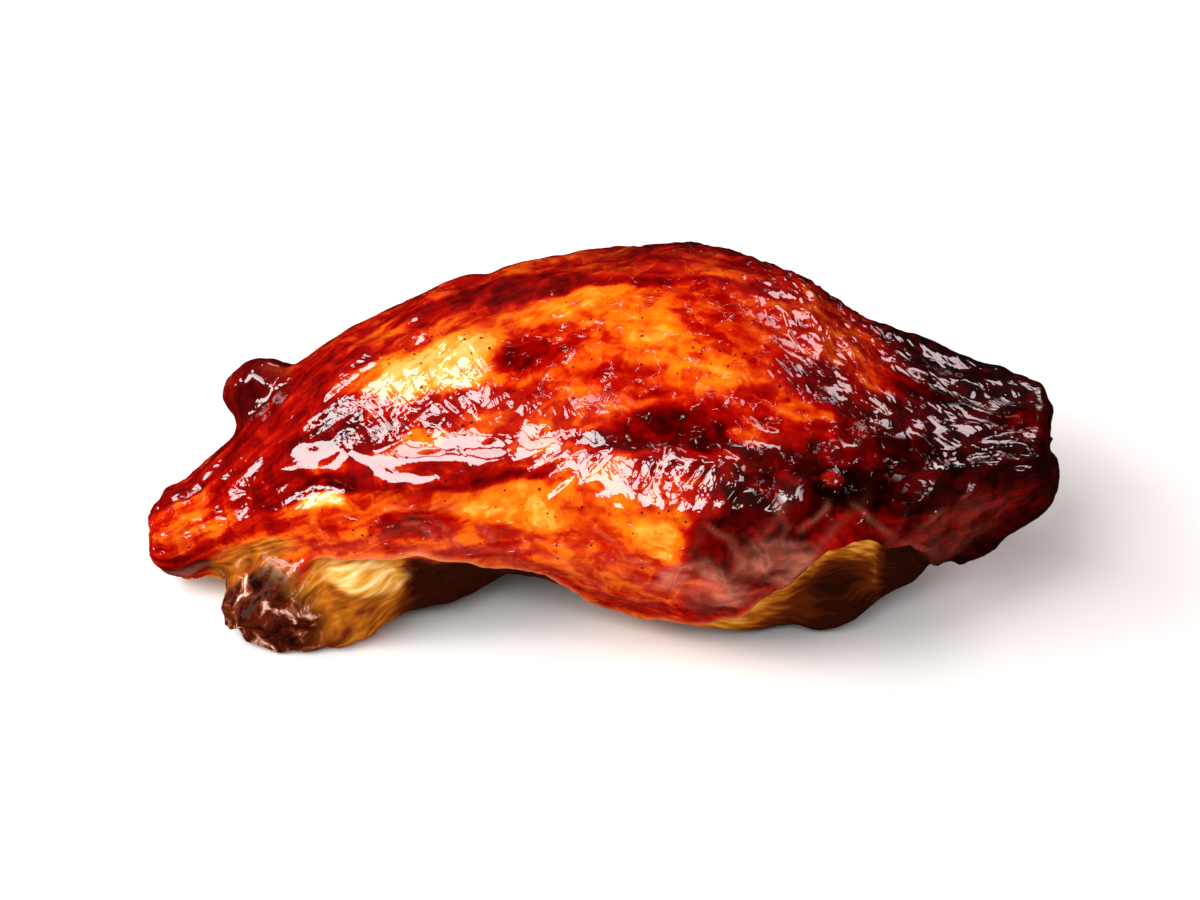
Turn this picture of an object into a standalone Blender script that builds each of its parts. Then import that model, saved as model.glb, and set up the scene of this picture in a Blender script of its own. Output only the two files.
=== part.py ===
"""A glazed barbecued chicken wing, lying skin side up as it rests on a table.

X runs along the wing, from its two knuckles at -X to its charred cut end at +X.
The front, -Y, shows the skin's hem and the lower knuckle under it. +Z is up.
The origin is on the table, under the middle of the wing.
"""
import math

import bmesh
import bpy
import numpy as np
from mathutils import Matrix, Vector, noise

MM = 0.001

# The body's stations along the wing, in mm: x, centre y and z, half depth, half height
STATIONS = (
    (-42.5, 2.8, 7.0, 3.6, 3.4),
    (-38.5, 3.2, 9.2, 5.8, 5.2),
    (-33.0, 3.6, 12.8, 9.2, 7.4),
    (-26.0, 3.6, 16.4, 12.6, 9.8),
    (-20.0, 4.8, 17.5, 15.4, 11.4),
    (-13.0, 5.9, 17.4, 17.2, 14.0),
    (-4.0, 7.2, 17.3, 18.8, 15.4),
    (5.0, 6.6, 17.3, 20.4, 16.4),
    (13.0, 5.5, 17.3, 21.4, 17.1),
    (22.0, 3.8, 16.6, 19.6, 16.0),
    (30.0, 2.8, 15.7, 15.2, 11.7),
    (36.0, 3.0, 15.6, 12.2, 9.2),
    (42.0, 3.8, 16.5, 9.0, 6.6),
    (45.6, 4.4, 17.2, 7.2, 4.8),
)
SECTIONS = 150
ROUND_POINTS = 160
SQUARE_FROM_X = 24.0  # from here to the cut end the round body turns squarish
SQUARE_POWER = 3.2

# Round the body an angle of 0 is the back, 90 the top, 180 the front and 270 the underside.
# The skin ends in a hem: x and the angle that it reaches down to on the front
HEM = (
    (-43.0, 222.0),
    (-36.0, 200.0),
    (-28.0, 208.0),
    (-14.0, 218.0),
    (2.0, 224.0),
    (12.0, 216.0),
    (19.0, 190.0),
    (25.5, 164.0),
    (31.0, 176.0),
    (37.0, 214.0),
    (46.0, 262.0),
)
BACK_HEM_ANGLE = -38.0
SKIN_THICKNESS = 2.0
ARCH_X, ARCH_REACH, ARCH_DEPTH = 24.5, 6.5, 3.2  # the open arch where the skin is drawn up

# The long hollow on the front, whose angle drops by a share of x, and the ledge under it
GROOVE_ANGLE, GROOVE_DROP, GROOVE_WIDTH, GROOVE_DEPTH = 129.0, 0.45, 7.0, 0.7
LEDGE_OFFSET, LEDGE_WIDTH, LEDGE_HEIGHT = 24.0, 8.0, 0.5

# Dents and, with a depth below 0, swellings: x, angle round the body, radius and depth
DENTS = (
    (-6.0, 98.0, 3.0, 1.2),
    (-27.0, 150.0, 2.0, 1.3),
    (8.0, 128.0, 3.4, 0.8),
    (18.0, 142.0, 6.5, 1.5),
    (-17.0, 186.0, 2.8, 0.6),
    (2.0, 62.0, 3.6, 0.9),
    (16.0, 38.0, 4.2, 1.0),
    (-12.0, 20.0, 3.8, 1.0),
    (26.0, 70.0, 3.0, 0.8),
    (-10.0, 120.0, 7.0, -0.7),
    (3.0, 170.0, 7.5, -1.5),
    (30.0, 150.0, 4.0, -0.8),
)

# Folds of the skin: how far they stand and the distance between two
DRAPE_HEIGHT, DRAPE_SPACING = 0.75, 5.2
CRUMPLE_HEIGHT, CRUMPLE_SPACING = 1.0, 5.0
CRAG_HEIGHT, CRAG_SIZE = 0.42, 3.0
LUMP_HEIGHT, LUMP_SIZE = 1.1, 13.0

# Lobes grown into the body: centre, half sizes, turn about Z and about Y in degrees, roughness
LOBES = (
    ((-40.2, 2.2, 7.2), (5.2, 5.0, 4.9), 8.0, 12.0, 0.7),      # upper knuckle
    ((-35.0, 1.6, 7.8), (7.6, 5.4, 5.2), 0.0, -14.0, 0.2),     # shaft behind it
    ((-32.0, -5.8, 5.4), (5.4, 5.4, 5.0), -10.0, 0.0, 1.0),    # lower knuckle
    ((-29.6, -6.8, 3.0), (6.6, 3.8, 2.8), -4.0, 0.0, 1.1),     # its ragged rim
    ((-24.6, -7.0, 3.4), (3.6, 3.2, 3.0), 0.0, 0.0, 1.0),      # the rim's corner
    ((-23.2, -5.8, 6.4), (5.4, 4.4, 5.0), 0.0, 10.0, 0.3),     # shaft beside it
    ((-22.2, -7.6, 9.2), (4.4, 2.7, 2.5), -6.0, 12.0, 0.1),    # gristle cap on that shaft
    ((-27.6, -5.4, 8.4), (4.2, 3.6, 3.6), 0.0, 0.0, 0.4),      # web between knuckle and cap
    ((-14.0, -2.0, 8.2), (11.0, 5.4, 5.2), 14.0, -10.0, 0.4),  # meat along the lower bone
    ((-33.2, 10.4, 18.4), (4.2, 3.7, 4.0), 20.0, 30.0, 0.9),   # charred nub
    ((-29.6, 8.0, 16.8), (5.0, 4.4, 4.2), 10.0, 10.0, 0.4),    # root of the nub
    ((43.6, 6.8, 19.6), (3.2, 3.8, 2.8), 0.0, 0.0, 0.8),       # corner of the cut end
    ((44.0, 0.6, 16.0), (3.0, 3.8, 3.2), 0.0, 0.0, 0.8),       # lower corner of the cut end
    ((14.5, 3.4, 6.3), (15.5, 13.0, 6.8), -4.0, 2.0, 0.4),     # meat that it lies on
    ((24.4, -3.2, 5.6), (5.2, 5.6, 4.7), 0.0, 0.0, 0.6),       # the meat's thick edge
    ((29.0, -1.6, 9.0), (6.4, 5.6, 5.2), 0.0, -20.0, 0.4),     # where it runs into the cut end
)
LOBE_RINGS, LOBE_SEGMENTS = 32, 48

FLAT_Z = 1.1     # what hangs lower is pressed flat on the table
FLAT_BLEND = 0.5
VOXEL = 0.75
SOFTEN_TIMES = 5
SOFTEN_SHARE = 0.5
TRIANGLES = 10400

GLAZE_RED_BROWN = (0.30, 0.035, 0.008, 1.0)
GLAZE_ROUGHNESS = 0.22


def smooth(t):
    """0 to 1 with level ends, for t from 0 to 1."""
    t = np.clip(t, 0.0, 1.0)
    return t * t * (3 - 2 * t)


def bump(value, centre, width):
    """A round bump, 1 at its centre."""
    return np.exp(-(((value - centre) / width) ** 2))


def rough(points, size, seed=0.0):
    """Smooth noise from -1 to 1 at each point, with features of that size in mm."""
    shift = Vector((seed * 7.3, seed * 3.1, seed * 5.7))
    return np.array([noise.noise(Vector(p) / size + shift) for p in points])


def ridged(points, size, seed=0.0):
    """Creased noise from 0 to 1, which peaks along thin crests."""
    return 1.0 - np.abs(rough(points, size, seed)) * 2.0


def along(table, x, column):
    """A station table read at each x as one smooth curve."""
    knots = np.array([row[0] for row in table])
    values = np.array([row[column] for row in table])
    slopes = np.gradient(values, knots)
    i = np.clip(np.searchsorted(knots, x) - 1, 0, len(knots) - 2)
    step = knots[i + 1] - knots[i]
    t = np.clip((x - knots[i]) / step, 0.0, 1.0)
    start, end = values[i], values[i + 1]
    return (
        (2 * t**3 - 3 * t**2 + 1) * start
        + (t**3 - 2 * t**2 + t) * step * slopes[i]
        + (3 * t**2 - 2 * t**3) * end
        + (t**3 - t**2) * step * slopes[i + 1]
    )


def body_point(x, angle, depth=0.0):
    """The body's smooth surface at x and an angle round it, sunk by depth."""
    centre_y, centre_z, half_y, half_z = (along(STATIONS, x, c) for c in (1, 2, 3, 4))
    turn = np.radians(angle)
    cos, sin = np.cos(turn), np.sin(turn)
    power = 2.15 + (SQUARE_POWER - 2.15) * smooth((x - SQUARE_FROM_X) / 14.0)
    reach = (np.abs(cos) ** power + np.abs(sin) ** power) ** (-1 / power)
    return np.stack([
        x,
        centre_y + (half_y - depth) * reach * cos,
        centre_z + (half_z - depth) * reach * sin,
    ], axis=-1)


def skin_relief(x, angle):
    """How far the skin stands over the smooth body: folds, dents and the hem's edge."""
    middle = smooth((x + 36) / 14) * smooth((36 - x) / 16)
    groove = GROOVE_ANGLE + GROOVE_DROP * x + 3.0 * np.sin(x * 0.24)
    height = middle * (
        LEDGE_HEIGHT * bump(angle, groove + LEDGE_OFFSET, LEDGE_WIDTH)
        - GROOVE_DEPTH * bump(angle, groove, GROOVE_WIDTH)
    )
    for dent_x, dent_angle, radius, depth in DENTS:
        arc = np.radians(angle - dent_angle) * along(STATIONS, x, 4)
        height = height - depth * bump(np.hypot(x - dent_x, arc), 0.0, radius)
    front = bump(angle, 188.0, 34.0)
    fan = (x - 31.0) * 0.9 + (angle - 150.0) * 0.16
    drape = np.sin(fan * 2 * math.pi / DRAPE_SPACING + 1.4 * np.sin(x * 0.21))
    height = height + DRAPE_HEIGHT * front * bump(x, 22.0, 13.0) * drape
    return height


def hem_step(x, angle):
    """1 where the meat shows under the skin's hem, and 0 on the skin."""
    wave = 1.6 * np.sin(x * 0.55) + 1.2 * np.sin(x * 1.27 + 1.0)
    front = smooth((angle - along(HEM, x, 1) - wave) / 7.0)
    front = front * (angle < 290)
    back_angle = np.where(angle > 290, angle - 360.0, angle)
    back = smooth((BACK_HEM_ANGLE - back_angle + wave) / 9.0) * (angle > 290)
    return np.maximum(front, back)


def make_body():
    """The long body as rings of points, each moved in or out by the skin's relief."""
    ends = 0.5 - 0.5 * np.cos(np.linspace(0, math.pi, SECTIONS))
    even = np.linspace(0, 1, SECTIONS)
    share = 0.65 * even + 0.35 * ends
    x_from, x_to = STATIONS[0][0], STATIONS[-1][0]
    x, angle = np.meshgrid(
        x_from + (x_to - x_from) * share,
        np.arange(ROUND_POINTS) * 360.0 / ROUND_POINTS,
        indexing="ij",
    )
    step = hem_step(x, angle)
    arch = bump(x, ARCH_X, ARCH_REACH) * bump(angle, 205.0, 34.0) * ARCH_DEPTH
    sunk = step * (SKIN_THICKNESS + arch) - (1 - step) * skin_relief(x, angle)
    points = body_point(x, angle, sunk)
    bm = bmesh.new()
    rings = [[bm.verts.new(p) for p in ring] for ring in points]
    for ring, after in zip(rings, rings[1:]):
        for k in range(ROUND_POINTS):
            n = (k + 1) % ROUND_POINTS
            bm.faces.new((ring[k], ring[n], after[n], after[k]))
    for ring in (rings[0], rings[-1]):
        middle = sum((v.co for v in ring), Vector()) / len(ring)
        pole = bm.verts.new(middle)
        for k in range(ROUND_POINTS):
            bm.faces.new((ring[k], ring[(k + 1) % ROUND_POINTS], pole))
    bmesh.ops.recalc_face_normals(bm, faces=bm.faces)
    return bm


def add_lobe(bm, centre, half, turn_z, turn_y, ragged, seed):
    """One rounded lobe, a ball pulled to its half sizes and roughened."""
    turn = Matrix.Rotation(math.radians(turn_z), 4, "Z")
    turn = turn @ Matrix.Rotation(math.radians(turn_y), 4, "Y")
    place = Matrix.Translation(centre) @ turn @ Matrix.Diagonal((*half, 1.0))
    made = bmesh.ops.create_uvsphere(
        bm, u_segments=LOBE_SEGMENTS, v_segments=LOBE_RINGS, radius=1.0, matrix=place
    )
    middle = Vector(centre)
    for vert in made["verts"]:
        out = (vert.co - middle).normalized()
        lump = noise.noise(vert.co / 3.4 + Vector((seed, 0, 0)))
        fine = noise.noise(vert.co / 1.7 + Vector((0, seed, 0)))
        vert.co += out * ragged * (1.1 * lump + 0.6 * fine)


def fuse(bm, name):
    """One closed skin over all that overlaps, from Blender's voxel remesh."""
    mesh = bpy.data.meshes.new(name + "_lobes")
    bm.to_mesh(mesh)
    bm.free()
    rough_shape = bpy.data.objects.new(name + "_lobes", mesh)
    bpy.context.scene.collection.objects.link(rough_shape)
    remesh = rough_shape.modifiers.new("fuse", "REMESH")
    remesh.mode = "VOXEL"
    remesh.voxel_size = VOXEL
    soften = rough_shape.modifiers.new("soften", "SMOOTH")
    soften.iterations = SOFTEN_TIMES
    soften.factor = SOFTEN_SHARE
    evaluated = rough_shape.evaluated_get(bpy.context.evaluated_depsgraph_get())
    fused = bpy.data.meshes.new_from_object(evaluated)
    fused.name = name
    bpy.data.objects.remove(rough_shape)
    return fused


def crags(points, normals):
    """The uneven heights that cooking leaves: broad lumps, sharp crags and the crumpled end."""
    x, y, z = points.T
    upper = smooth((normals[:, 2] + 0.35) / 0.5)
    end = smooth((x - 22.0) / 14.0)
    height = LUMP_HEIGHT * 0.5 * rough(points, LUMP_SIZE, 1.0)
    streak = points * np.array([0.45, 1.0, 1.0])
    height += CRAG_HEIGHT * (ridged(streak, CRAG_SIZE, 2.0) - 0.5) * (0.35 + 0.65 * upper)
    creases = ridged(points * np.array([0.5, 1.0, 1.4]), CRUMPLE_SPACING, 3.0)
    height += CRUMPLE_HEIGHT * end * (creases - 0.6)
    back_rim = bump(y, 20.0, 8.0) * smooth((z - 14) / 8)
    height += 0.5 * back_rim * rough(points, 2.2, 4.0)
    return height


def roughen_and_rest(mesh):
    """Adds the crags, presses the low parts flat on the table and puts the wing on Z = 0."""
    count = len(mesh.vertices)
    points, normals = np.empty(count * 3), np.empty(count * 3)
    mesh.vertices.foreach_get("co", points)
    mesh.vertices.foreach_get("normal", normals)
    points, normals = points.reshape(-1, 3), normals.reshape(-1, 3)
    points = points + normals * crags(points, normals)[:, None]
    over = points[:, 2] - FLAT_Z
    eased = np.where(
        over > FLAT_BLEND, over, np.maximum(over + FLAT_BLEND, 0.0) ** 2 / (4 * FLAT_BLEND)
    )
    points[:, 2] = eased
    middle = (points[:, :2].min(axis=0) + points[:, :2].max(axis=0)) / 2
    points[:, :2] -= middle
    mesh.vertices.foreach_set("co", (points * MM).ravel())
    mesh.update()


def glazed_skin():
    """Sticky red-brown barbecue glaze."""
    material = bpy.data.materials.new("barbecue_glaze")
    material.use_nodes = True
    shader = material.node_tree.nodes["Principled BSDF"]
    shader.inputs["Base Color"].default_value = GLAZE_RED_BROWN
    shader.inputs["Roughness"].default_value = GLAZE_ROUGHNESS
    return material


def make_wing():
    """The whole wing as one solid."""
    bm = make_body()
    for seed, (centre, half, turn_z, turn_y, ragged) in enumerate(LOBES):
        add_lobe(bm, centre, half, turn_z, turn_y, ragged, seed)
    mesh = fuse(bm, "chicken_wing")
    roughen_and_rest(mesh)
    mesh.materials.clear()
    mesh.materials.append(glazed_skin())
    wing = bpy.data.objects.new("chicken_wing", mesh)
    bpy.context.scene.collection.objects.link(wing)
    mesh.shade_smooth()
    thin_out = wing.modifiers.new("thin_out", "DECIMATE")
    thin_out.use_collapse_triangulate = True
    triangles_now = sum(len(p.vertices) - 2 for p in mesh.polygons)
    thin_out.ratio = min(1.0, TRIANGLES / triangles_now)
    return wing


for old in list(bpy.data.objects):
    bpy.data.objects.remove(old)
make_wing()
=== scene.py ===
"""A glazed barbecued chicken wing on a pale table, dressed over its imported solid."""
import math

import bpy
import numpy as np
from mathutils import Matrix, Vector, kdtree, noise


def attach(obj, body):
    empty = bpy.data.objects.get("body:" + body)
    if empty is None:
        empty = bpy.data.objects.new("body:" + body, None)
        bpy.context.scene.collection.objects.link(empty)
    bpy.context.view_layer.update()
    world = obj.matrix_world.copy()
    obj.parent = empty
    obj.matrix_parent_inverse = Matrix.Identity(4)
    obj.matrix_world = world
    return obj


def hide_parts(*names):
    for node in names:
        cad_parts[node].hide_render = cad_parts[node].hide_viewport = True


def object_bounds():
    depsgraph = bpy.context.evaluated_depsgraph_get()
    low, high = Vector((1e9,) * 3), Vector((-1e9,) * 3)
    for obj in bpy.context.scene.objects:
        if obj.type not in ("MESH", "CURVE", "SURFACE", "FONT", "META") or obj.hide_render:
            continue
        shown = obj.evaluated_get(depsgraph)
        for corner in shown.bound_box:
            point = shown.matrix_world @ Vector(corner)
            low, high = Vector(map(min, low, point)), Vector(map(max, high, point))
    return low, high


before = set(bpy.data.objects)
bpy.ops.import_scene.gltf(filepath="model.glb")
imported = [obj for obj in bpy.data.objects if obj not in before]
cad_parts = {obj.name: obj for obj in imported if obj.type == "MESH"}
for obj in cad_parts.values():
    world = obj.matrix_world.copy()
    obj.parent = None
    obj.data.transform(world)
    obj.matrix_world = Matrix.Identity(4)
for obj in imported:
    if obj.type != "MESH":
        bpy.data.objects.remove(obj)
cad_low, cad_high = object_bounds()

MM = 0.001

# Camera: it looks across the table at the wing's open hem side, from above at the height
# that the wing is served and seen at.
CAMERA_ELEVATION = 38.0
CAMERA_DISTANCE = 0.40
CAMERA_LENS = 118.0
AIM = Vector((0.0, -0.0005, 0.0145))

tilt = math.radians(CAMERA_ELEVATION)
towards_camera = Vector((0.0, -math.cos(tilt), math.sin(tilt)))
camera = bpy.data.objects.new("camera", bpy.data.cameras.new("camera"))
bpy.context.scene.collection.objects.link(camera)
camera.location = AIM + towards_camera * CAMERA_DISTANCE
camera.rotation_euler = (-towards_camera).to_track_quat("-Z", "Y").to_euler()
camera.data.lens = CAMERA_LENS
camera.data.clip_start = 0.01
bpy.context.scene.camera = camera
bpy.context.scene.view_settings.view_transform = "Standard"


# The wing itself: skin, meat and two bones roasted into one firm piece. Its solid is laid
# over with a fine even mesh, which then takes the folds, pits and crust of the cooked skin.
FINE_STEP = 0.37 * MM
SOFTEN_TIMES = 22  # enough to even out the solid's facets

# The line through the body: x, middle y and z, half depth and half height in mm
BODY_LINE = np.array((
    (-43.6, -2.7, 5.9, 3.6, 3.4),
    (-39.6, -2.3, 8.1, 5.8, 5.2),
    (-34.1, -1.9, 11.7, 9.2, 7.4),
    (-27.1, -1.9, 15.3, 12.6, 9.8),
    (-21.1, -0.7, 16.4, 15.4, 11.4),
    (-14.1, 0.4, 16.3, 17.2, 14.0),
    (-5.1, 1.7, 16.2, 18.8, 15.4),
    (3.9, 1.1, 16.2, 20.4, 16.4),
    (11.9, 0.0, 16.2, 21.4, 17.1),
    (20.9, -1.7, 15.5, 19.6, 16.0),
    (28.9, -2.7, 14.6, 15.2, 11.7),
    (34.9, -2.5, 14.5, 12.2, 9.2),
    (40.9, -1.7, 15.4, 9.0, 6.6),
    (44.5, -1.1, 16.1, 7.2, 4.8),
))
MM_PER_DEGREE = 0.3  # how far a degree round the body is on the skin

# The skin's lower edge: x and the angle round the body where it ends
# (0 is the back, 90 the top, 180 the front and 270 the underside)
HEM = np.array((
    (-44.0, 240.0),
    (-39.0, 232.0),
    (-36.0, 206.0),
    (-29.0, 204.0),
    (-20.0, 195.0),
    (-15.0, 197.0),
    (-9.0, 202.0),
    (-4.0, 214.0),
    (1.0, 224.0),
    (11.0, 216.0),
    (18.0, 190.0),
    (24.4, 164.0),
    (30.0, 176.0),
    (36.0, 214.0),
    (45.0, 262.0),
))
BACK_HEM = -38.0


def smooth(t):
    """0 to 1 with level ends, for t from 0 to 1."""
    t = np.clip(t, 0.0, 1.0)
    return t * t * (3 - 2 * t)


def bump(value, centre, width):
    """A round bump, 1 at its centre."""
    return np.exp(-(((value - centre) / width) ** 2))


def rough(places, size, seed):
    """Smooth noise from about -1 to 1, with features of that size (one or three sizes)."""
    scaled = places / np.asarray(size) + (seed * 7.3, seed * 3.1, seed * 5.7)
    return np.array([noise.noise(Vector(p)) for p in scaled])


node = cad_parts["chicken_wing"]
core = bpy.data.objects.new("wing_core", node.data.copy())
bpy.context.scene.collection.objects.link(core)
even = core.modifiers.new("even", "REMESH")
even.mode = "VOXEL"
even.voxel_size = FINE_STEP
soften = core.modifiers.new("soften", "SMOOTH")
soften.iterations = SOFTEN_TIMES
soften.factor = 0.5
smooth_core = core.evaluated_get(bpy.context.evaluated_depsgraph_get())
skin_mesh = bpy.data.meshes.new_from_object(smooth_core)
skin_mesh.name = "glazed_wing"
bpy.data.objects.remove(core)

count = len(skin_mesh.vertices)
points = np.empty(count * 3)
normals = np.empty(count * 3)
skin_mesh.vertices.foreach_get("co", points)
skin_mesh.vertices.foreach_get("normal", normals)
points = points.reshape(-1, 3) / MM
normals = normals.reshape(-1, 3)

# Where each point lies along and round the body
x = points[:, 0]
middle_y, middle_z, half_y, half_z = (
    np.interp(x, BODY_LINE[:, 0], BODY_LINE[:, column]) for column in (1, 2, 3, 4)
)
angle = np.degrees(np.arctan2(
    (points[:, 2] - middle_z) / half_z, (points[:, 1] - middle_y) / half_y,
))
angle = np.where(angle < -90.0, angle + 360.0, angle)

# The places that look unlike the rest: the drape in front, the dark end, and the crust on the
# back rim and the shoulder
drape = bump(x, 20.0, 10.0) * bump(angle, 184.0, 24.0)
end = smooth((x - 25.0) / 9.0)
rim = smooth((78.0 - angle) / 22.0) * smooth((angle + 20.0) / 30.0) * smooth((x + 6.0) / 14.0)
shoulder = smooth((x - 10.0) / 10.0) * smooth((112.0 - angle) / 24.0)
shoulder *= smooth((angle + 20.0) / 30.0)
crusty = np.maximum(rim, shoulder) * (1.0 - end)

# How far past the hem a point is, in degrees: below 0 it is skin, above 0 bare meat
wave = 1.6 * np.sin((x + 1.1) * 0.55) + 1.2 * np.sin((x + 1.1) * 1.27 + 1.0)
past_front = angle - np.interp(x, HEM[:, 0], HEM[:, 1]) - wave
past_back = BACK_HEM - angle + wave
past_hem = np.maximum(past_front, past_back)
bare = smooth((past_hem - 2.0) / 4.0) * smooth((42.5 - x) / 2.5) * smooth((x + 43.5) / 2.0)
skin = 1.0 - bare

# The skin's own directions in mm: along it, across it, and a meander that keeps lines uneven.
# It was pulled up to the right on the left half, level on the right one and down at the drape.
meander = np.stack([rough(points, 9.0, 11.0), rough(points, 7.0, 12.0)], axis=-1)
jitter = np.stack([rough(points, 2.4, 13.0), rough(points, 2.0, 14.0)], axis=-1)
along = x + 1.6 * meander[:, 1]
across = (angle - 90.0) * MM_PER_DEGREE + 1.3 * meander[:, 0]
left_share = smooth((6.0 - x) / 12.0)
drape_share = smooth(drape * 2.0)
PULLS = (-0.55, 0.15, 1.0)  # the turn of the pull, in radians, in those three places
pull_shares = (
    left_share * (1.0 - drape_share), (1.0 - left_share) * (1.0 - drape_share), drape_share,
)


def pulled_along(turn):
    """Places on the skin, in mm, with the first axis along a pull of that turn."""
    return np.stack([
        along * math.cos(turn) + across * math.sin(turn),
        across * math.cos(turn) - along * math.sin(turn),
        0.25 * points[:, 2],
    ], axis=-1)


def streaks(size, seed):
    """Noise drawn out along the skin's pull. size gives its length, width and depth in mm."""
    return sum(
        share * rough(pulled_along(turn), size, seed) for turn, share in zip(PULLS, pull_shares)
    )


def patch(row, soft=0.5):
    """1 inside an uneven patch of that x, angle, half length, half width and lean, and 0 outside."""
    patch_x, patch_angle, length, width, lean = row[:5]
    here = x + 0.9 * meander[:, 0] + 0.5 * jitter[:, 0] - patch_x
    round_it = angle + (0.9 * meander[:, 1] + 0.5 * jitter[:, 1]) / MM_PER_DEGREE - patch_angle
    reach = np.hypot(here / length, (round_it - lean * here) / width)
    return 1.0 - smooth((reach - 1.0) / soft + 0.5)


def gap_to(line):
    """How far each point is on the skin, in mm, from a line of x and angle."""
    here = np.stack([x, angle * MM_PER_DEGREE], axis=-1) + 0.45 * jitter + 0.5 * meander
    gap = np.full(count, np.inf)
    for start, after in zip(line, line[1:]):
        a, b = (np.array((place[0], place[1] * MM_PER_DEGREE)) for place in (start, after))
        share = np.clip((here - a) @ (b - a) / ((b - a) @ (b - a)), 0.0, 1.0)
        gap = np.minimum(gap, np.linalg.norm(here - a - share[:, None] * (b - a), axis=1))
    return gap


# Dents and swellings: x, angle, half length, half width, lean, depth
DENTS = (
    (-6.5, 109.0, 3.2, 6.5, -1.0, 0.50),
    (-27.4, 149.0, 2.4, 5.0, 0.0, 0.30),
    (9.0, 136.0, 7.0, 6.0, 0.0, 0.50),
    (-18.4, 177.0, 3.4, 7.0, 0.3, 0.30),
    (24.0, 141.0, 8.0, 6.0, 0.0, 0.50),
    (3.5, 121.0, 4.6, 5.0, 0.0, 0.22),
    (-15.0, 132.0, 8.0, 4.5, 0.0, 0.30),
    (14.5, 137.0, 2.4, 4.0, 0.0, -0.35),
    (22.6, 145.0, 1.1, 3.0, 0.0, -0.55),
    (18.4, 150.0, 1.1, 4.5, 0.8, -0.35),
    (8.0, 141.0, 0.9, 4.0, 0.6, -0.30),
    (5.6, 170.0, 3.4, 7.0, 1.0, -0.30),
    (15.5, 171.0, 2.0, 5.5, 0.0, 0.55),
    (12.0, 168.0, 1.6, 6.0, 0.5, 0.35),
    (-38.0, 212.0, 3.5, 20.0, 0.0, 0.60),
    (43.6, 84.0, 2.6, 26.0, 0.0, -0.80),
    (44.6, 131.0, 2.6, 9.0, 0.0, -0.60),
    (-9.0, 216.0, 6.0, 18.0, 0.0, 1.30),
)
relief = np.zeros(count)
for row in DENTS:
    relief -= row[5] * patch(row, 1.4)

# Shelves where the skin lies nearly level and throws back a long streak of light: x, angle and
# height of the shelf's line. The first is whole, the second is broken into slanted strokes.
LEDGE = np.array((
    (-34.0, 124.0, 0.0), (-31.0, 129.0, 0.16), (-28.5, 134.0, 0.18), (-26.0, 140.0, 0.26),
    (-23.5, 145.0, 0.34), (-21.0, 147.0, 0.34), (-18.0, 147.0, 0.20), (-15.0, 146.0, 0.18),
    (-12.0, 143.0, 0.12), (-9.0, 141.0, 0.08), (-6.0, 140.0, 0.0),
))
TEETH = np.array((
    (-6.0, 156.0, 0.0), (-3.0, 154.0, 0.30), (2.0, 153.0, 0.25), (6.0, 152.0, 0.20),
    (10.0, 152.0, 0.22), (14.0, 151.0, 0.22), (18.0, 150.0, 0.22), (21.0, 148.0, 0.0),
))


def shelf(line):
    """The height of a shelf along that line, and 1 on its level part."""
    height = np.interp(x, line[:, 0], line[:, 2])
    below = (angle - np.interp(x, line[:, 0], line[:, 1])) * MM_PER_DEGREE
    below += 0.5 * meander[:, 1] + 0.25 * jitter[:, 0]
    level = smooth(height * 8.0) * smooth((3.4 - np.abs(below)) / 1.4)
    return level * (height * (below + 2.2) / 3.6 + 0.036 * below**2), level


TOOTH_SPACING = 1.5  # mm from one slanted stroke of light to the next
TOOTH_HEIGHT = 0.15  # mm
TOOTH_TURN = -0.85  # radians
ledge_lip, ledge = shelf(LEDGE)
teeth_lip, teeth = shelf(TEETH)
relief += ledge_lip + teeth_lip
tooth = pulled_along(TOOTH_TURN)[:, 1] + 0.6 * jitter[:, 0]
tooth_wave = np.sin(tooth * 2 * math.pi / TOOTH_SPACING) * smooth(0.6 + rough(points, 3.0, 15.0))
relief += TOOTH_HEIGHT * teeth * tooth_wave

# Thin ridges of the skin and set glaze: a line of x and angle, half width and height in mm.
# One of a height below 0 is a groove.
RIDGES = (
    (((-7.0, 136.0), (-4.0, 138.0), (-1.0, 138.0), (2.0, 135.5), (6.0, 133.5)), 0.6, 0.24),
    (((-1.0, 121.0), (2.0, 124.5), (5.0, 124.0), (8.0, 124.0), (10.0, 126.0)), 0.5, 0.20),
    (((6.5, 142.0), (8.0, 145.0), (10.5, 145.0)), 0.5, 0.25),
    (((11.6, 144.0), (11.4, 153.0), (8.6, 164.0), (8.2, 170.0)), 0.5, 0.28),
    (((13.6, 147.0), (12.6, 153.0), (11.4, 161.0)), 0.6, 0.28),
    (((31.0, 122.0), (32.6, 131.0), (33.4, 138.0), (35.0, 148.0), (37.0, 153.0)), 0.6, 0.45),
    (((33.4, 137.0), (37.0, 138.0), (41.0, 140.0), (44.0, 142.0)), 0.6, 0.40),
    (((33.0, 131.0), (37.0, 132.0), (40.5, 134.0)), 0.7, -0.30),
    (((38.0, 122.0), (41.0, 118.0), (45.0, 116.0)), 0.7, -0.35),
)
for line, half_width, height in RIDGES:
    relief += height * bump(gap_to(line), 0.0, half_width)

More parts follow.
